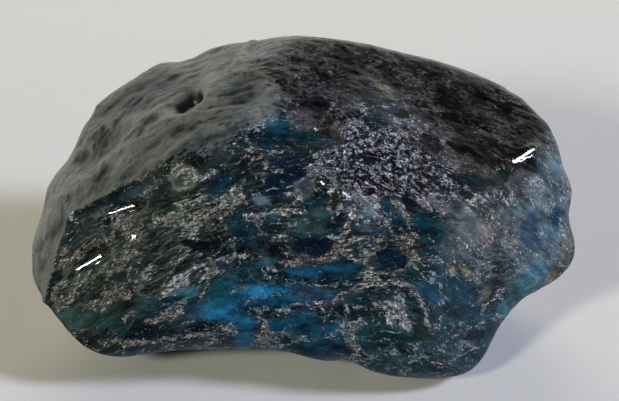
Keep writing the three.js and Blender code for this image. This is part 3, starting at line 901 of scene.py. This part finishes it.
class Apatite(Nodes):
    """The apatite's shader in parts, worked out from the fields on the stone's vertices."""

    def __init__(self, tree):
        super().__init__(tree)
        self.flow = self.field("flow", "Vector")
        self.long_flow = self.scaled(self.flow, 0.45, 1.0, 0.35)
        self.short_flow = self.scaled(self.flow, 0.5, 1.0, 0.6)
        self.thickness = self.field("thickness")
        self.grains = self.field("grains", "Color")
        self.sparkle = self.field("sparkle")
        self.dark = self.field("dark")
        self.rocky = self.most(self.sparkle, self.dark)
        self.frosted = self.field("frosted")
        self.polished = self.field("polished")
        self.lay_veins()
        self.lay_felt()
        self.satin = self.ragged_satin()
        self.grain = self.grain_amount()
        self.pores = self.noise(self.field("drift", "Vector"), PORE_SIZE, 4.0, 0.7)

    def lay_veins(self):
        """Veins between cells of clear stone that are longer along the grain, threads and placed veins."""
        flow = self.flow
        wobble = self.add("ShaderNodeTexNoise", "Color", None, Vector=flow, Scale=1.0 / BEND_SIZE, Detail=3.0)
        shift = self.vector("SUBTRACT", wobble, (0.5, 0.5, 0.5))
        shift = self.scaled(shift, CELL_BEND, CELL_BEND, CELL_BEND)
        bent = self.vector("ADD", self.long_flow, shift)
        edge = self.add("ShaderNodeTexVoronoi", "Distance", {"feature": "DISTANCE_TO_EDGE"}, Vector=bent,
                        Scale=1.0 / CELL_SIZE)
        width = self.step(self.noise(flow, WIDTH_SIZE, 3.0, 0.6), 0.32, 0.68, -0.06, 0.26)
        thicker = self.times(self.minus(self.thickness, 0.5), 0.5)
        self.outside = self.minus(edge, self.plus(width, thicker))
        self.patchy = self.step(self.noise(flow, PATCHY_SIZE, 3.0, 0.6), 0.35, 0.6, 0.35, 1.0)
        vein = self.times(self.step(self.outside, -0.10, 0.06, 1.0, 0.0), self.patchy)
        threads = self.noise(self.long_flow, THREAD_SIZE, 2.0, 0.55, 0.4)
        threads = self.line(threads, 0.022, self.step(self.thickness, 0.0, 0.5, 0.25, 0.6), 0.0)
        fray = self.minus(self.noise(flow, FRAY_SIZE, 4.0, 0.65), 0.5)
        placed = self.plus(self.field("seam"), self.times(fray, 3.2))
        gaps = self.step(self.noise(self.short_flow, GAP_SIZE, 2.0, 0.5), 0.36, 0.56, 0.40, 0.95)
        placed = self.times(self.step(placed, -0.10, 0.55), gaps)
        self.cover = self.most(vein, threads, placed)

    def lay_felt(self):
        """The grains' own texture: felted curls and specks."""
        place = self.mix(self.sparkle, self.short_flow, self.flow)
        self.specks = self.step(self.noise(place, SPECK_SIZE, 2.0, 0.6), 0.3, 0.7)
        curls = self.line(self.noise(place, CURL_SIZE, 1.0, 0.5, 1.2), 0.07, 1.0, 0.0)
        fine_curls = self.line(self.noise(place, FINE_CURL_SIZE, 0.0, 0.5, 0.8), 0.08, 0.9, 0.0)
        self.felt = self.most(curls, fine_curls, self.specks)

    def grain_amount(self):
        """Grains show where felt and cover add up; on the rocky top they keep to scales, in clusters."""
        reach = self.plus(self.times(self.cover, 0.68), 0.04)
        over = self.minus(self.plus(self.felt, reach), 1.0)
        grain = self.step(over, -0.03, 0.42)
        scales = self.noise(self.scaled(self.flow, 1.0, 1.15, 1.0), SCALE_SIZE, 2.0, 0.6)
        clusters = self.step(self.noise(self.long_flow, CLUSTER_SIZE, 2.0, 0.6), 0.44, 0.60, 0.10, 1.0)
        scales = self.times(self.step(scales, 0.44, 0.55), self.blend(self.dark, 1.0, clusters))
        grain = self.times(grain, self.blend(self.rocky, 1.0, scales))
        dots = self.step(self.noise(self.flow, DOT_SIZE, 0.0, 0.5), 0.75, 0.85, 0.0, 0.42)
        return self.most(grain, self.times(dots, self.minus(1.0, self.rocky)))

    def ragged_satin(self):
        frayed = self.times(self.noise(self.flow, SATIN_FRAY_SIZE, 3.0, 0.6), 2.0)
        frayed = self.minus(self.plus(self.specks, frayed), 1.5)
        frayed = self.times(frayed, 0.6)
        return self.step(self.plus(self.field("satin"), frayed), 0.25, 0.75)

    def grain_color(self):
        """Grains glitter: most are dim, and a few bright."""
        glitter = self.noise(self.flow, GLITTER_SIZE, 1.0, 0.5)
        dim = self.step(glitter, 0.3, 0.6, 0.13, 0.57)
        bright = self.plus(dim, self.step(glitter, 0.58, 0.72, 0.0, 0.95))
        bright = self.times(bright, self.step(self.felt, 0.2, 0.95, 0.35, 1.2))
        return self.mix(1.0, self.grains, bright, "MULTIPLY")

    def clear_color(self):
        """Clear stone is darker and lighter in depth, hazy near the veins and streaked along the grain."""
        deep = self.step(self.noise(self.long_flow, DEPTH_SIZE, 5.0, 0.65), 0.3, 0.7, 0.15, 1.90)
        color = self.mix(1.0, self.field("body", "Color"), deep, "MULTIPLY")
        haze = self.times(self.step(self.outside, -0.10, 0.15, 0.012, 0.0), self.patchy)
        color = self.mix(haze, color, self.grains)
        streaks = self.noise(self.scaled(self.flow, 0.5, 1.0, 1.0), STREAK_SIZE, 5.0, 0.7)
        return self.mix(1.0, color, self.step(streaks, 0.35, 0.65, 0.6, 1.4), "MULTIPLY")

    def fibre_amount(self):
        """Fine fibres along the grain."""
        fibres = self.noise(self.scaled(self.flow, 0.28, 1.0, 0.5), FIBRE_SIZE, 3.0, 0.65)
        fibres = self.times(self.step(fibres, 0.46, 0.68, 0.0, 0.32), self.field("fibrous"))
        patches = self.step(self.noise(self.flow, FIBRE_PATCH_SIZE, 2.0, 0.5), 0.36, 0.58, 0.2, 1.0)
        return self.times(fibres, patches)

    def rock_shade(self):
        """The dark top is dull rock with wavy black lines."""
        blotches = self.step(self.noise(self.long_flow, BLOTCH_SIZE, 3.0, 0.6), 0.36, 0.62, 0.30, 1.45)
        lines = self.line(self.noise(self.long_flow, LINE_SIZE, 3.0, 0.65, 1.0), 0.055, 0.15, 1.0)
        rock = self.step(self.noise(self.short_flow, ROCK_SIZE, 4.0, 0.7), 0.36, 0.66, 0.2, 1.7)
        rock = self.times(self.times(rock, lines), blotches)
        return self.mix(self.dark, (1.0, 1.0, 1.0), rock)

    def satin_color(self):
        """The satin is painted pale on its ridges as a sheen, and dark in its hollows and pores as shade."""
        grit = self.minus(self.noise(self.flow, SATIN_GRIT_SIZE, 4.0, 0.65), 0.5)
        sheen_and_shade = self.plus(self.step(self.field("sheen_and_shade"), -0.27, 0.29), grit)
        # Painted light: from painted shade in the hollows to a painted sheen on the crests
        color = self.mix(self.step(sheen_and_shade, -0.1, 1.05), SATIN_SHADE_HOLLOW, SATIN_SHEEN_CREST)
        return self.mix(self.step(self.pores, 0.33, 0.5, 0.85, 0.0), color, SATIN_SHADE_PORE)

    def color(self):
        clear = self.mix(self.fibre_amount(), self.clear_color(), self.grains)
        clear = self.mix(1.0, clear, self.rock_shade(), "MULTIPLY")
        color = self.mix(self.grain, clear, self.grain_color())
        return self.mix(self.times(self.satin, 0.85), color, self.satin_color())

    def roughness(self):
        rough = self.step(self.grain, 0.0, 1.0, CLEAR_ROUGHNESS, GRAIN_ROUGHNESS)
        rough = self.blend(self.satin, rough, SATIN_ROUGHNESS)
        rough = self.plus(rough, self.math("MULTIPLY", self.frosted, 0.85, clamp=True))
        return self.blend(self.polished, rough, FACET_ROUGHNESS)

    def bump(self):
        """Grains stand up, most on the rocky top, and pores pit the satin; polished places are smooth."""
        strength = self.step(self.sparkle, 0.0, 1.0, 0.3, 1.6)
        strength = self.most(strength, self.times(self.dark, 1.3))
        strength = self.plus(strength, self.times(self.frosted, 1.2))
        grains = self.times(self.grain, strength)
        grains = self.times(grains, self.minus(1.0, self.satin))
        pits = self.times(self.pores, self.step(self.satin, 0.0, 1.0, 0.4, 3.2))
        height = self.plus(grains, pits)
        height = self.times(height, self.step(self.polished, 0.0, 1.0, 1.0, 0.3))
        settings = {"Strength": BUMP_STRENGTH, "Distance": BUMP_HEIGHT, "Height": height}
        return self.add("ShaderNodeBump", **settings)


def apatite_material():
    material, apatite, shader = new_material("apatite", Apatite)
    apatite.join(shader.inputs["Base Color"], apatite.color())
    apatite.join(shader.inputs["Roughness"], apatite.roughness())
    apatite.join(shader.inputs["Normal"], apatite.bump())
    shader.inputs["IOR"].default_value = APATITE_IOR
    shader.inputs["Specular IOR Level"].default_value = APATITE_SHINE
    return material


def paper_material():
    material, nodes, shader = new_material("paper")
    mottle = nodes.noise(nodes.add("ShaderNodeTexCoord", "Object"), PAPER_MOTTLE, 3.0, 0.6)
    nodes.join(shader.inputs["Base Color"], nodes.mix(mottle, *PAPER_COLORS))
    shader.inputs["Roughness"].default_value = PAPER_ROUGHNESS
    shader.inputs["Specular IOR Level"].default_value = PAPER_SHINE
    return material


# ---- Surroundings ----
def make_floor():
    low, high = -PAPER_HALF, PAPER_HALF
    mesh = bpy.data.meshes.new("floor")
    mesh.from_pydata([(low, low, 0), (high, low, 0), (high, high, 0), (low, high, 0)], [], [(0, 1, 2, 3)])
    floor = bpy.data.objects.new("floor", mesh)
    floor.data.materials.append(paper_material())
    bpy.context.scene.collection.objects.link(floor)
    floor.visible_glossy = False


def make_lamp(name, towards, distance, power, color):
    """An area lamp that way from the stone, facing it, which the camera doesn't see."""
    light = bpy.data.lights.new(name, "AREA")
    light.energy = power
    light.color = color
    lamp = bpy.data.objects.new(name, light)
    lamp.location = towards * distance
    lamp.rotation_mode = "QUATERNION"
    lamp.rotation_quaternion = towards.to_track_quat("Z", "Y")
    lamp.visible_camera = False
    bpy.context.scene.collection.objects.link(lamp)
    return lamp


def make_lights():
    for name, direction, width, height, power, color in LIGHTS:
        lamp = make_lamp(name, Vector(direction).normalized(), LIGHT_DISTANCE, power, color)
        lamp.data.shape = "RECTANGLE"
        lamp.data.size = width
        lamp.data.size_y = height
    for name, place, size, power, color in SOFT_LIGHTS:
        lamp = make_lamp(name, Vector(place), 1.0, power, color)
        lamp.data.size = size
        lamp.visible_glossy = False


def make_world():
    """What the stone mirrors; it gives no diffuse light."""
    world = bpy.data.worlds.new("studio")
    bpy.context.scene.world = world
    world.use_nodes = True
    nodes = Nodes(world.node_tree)
    way = nodes.add("ShaderNodeTexCoord", "Generated")
    height = nodes.add("ShaderNodeSeparateXYZ", 2, None, Vector=way)
    below = nodes.step(height, *BACKDROP_TOP, 1.0, 0.0)
    band = nodes.times(below, nodes.step(height, *BACKDROP_FOOT))
    side = nodes.step(nodes.vector("DOT_PRODUCT", way, BACKDROP_WAY, "Value"), *BACKDROP_SIDE)
    color = nodes.mix(nodes.times(band, side), DIM_ROOM, BACKDROP)
    for direction, end, full, glow in GLOWS:
        towards = tuple(Vector(direction).normalized())
        near = nodes.vector("DOT_PRODUCT", way, towards, "Value")
        color = nodes.mix(nodes.step(near, end, full), color, glow)
    nodes.join(world.node_tree.nodes["Background"].inputs["Color"], color)
    world.cycles_visibility.diffuse = False


stone = fine_stone()
dress(stone)
stone.data.materials.append(apatite_material())
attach(stone, "root")
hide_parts("apatite_stone")

make_floor()
make_lights()
make_world()
make_camera()
bpy.context.scene.view_settings.view_transform = "Standard"
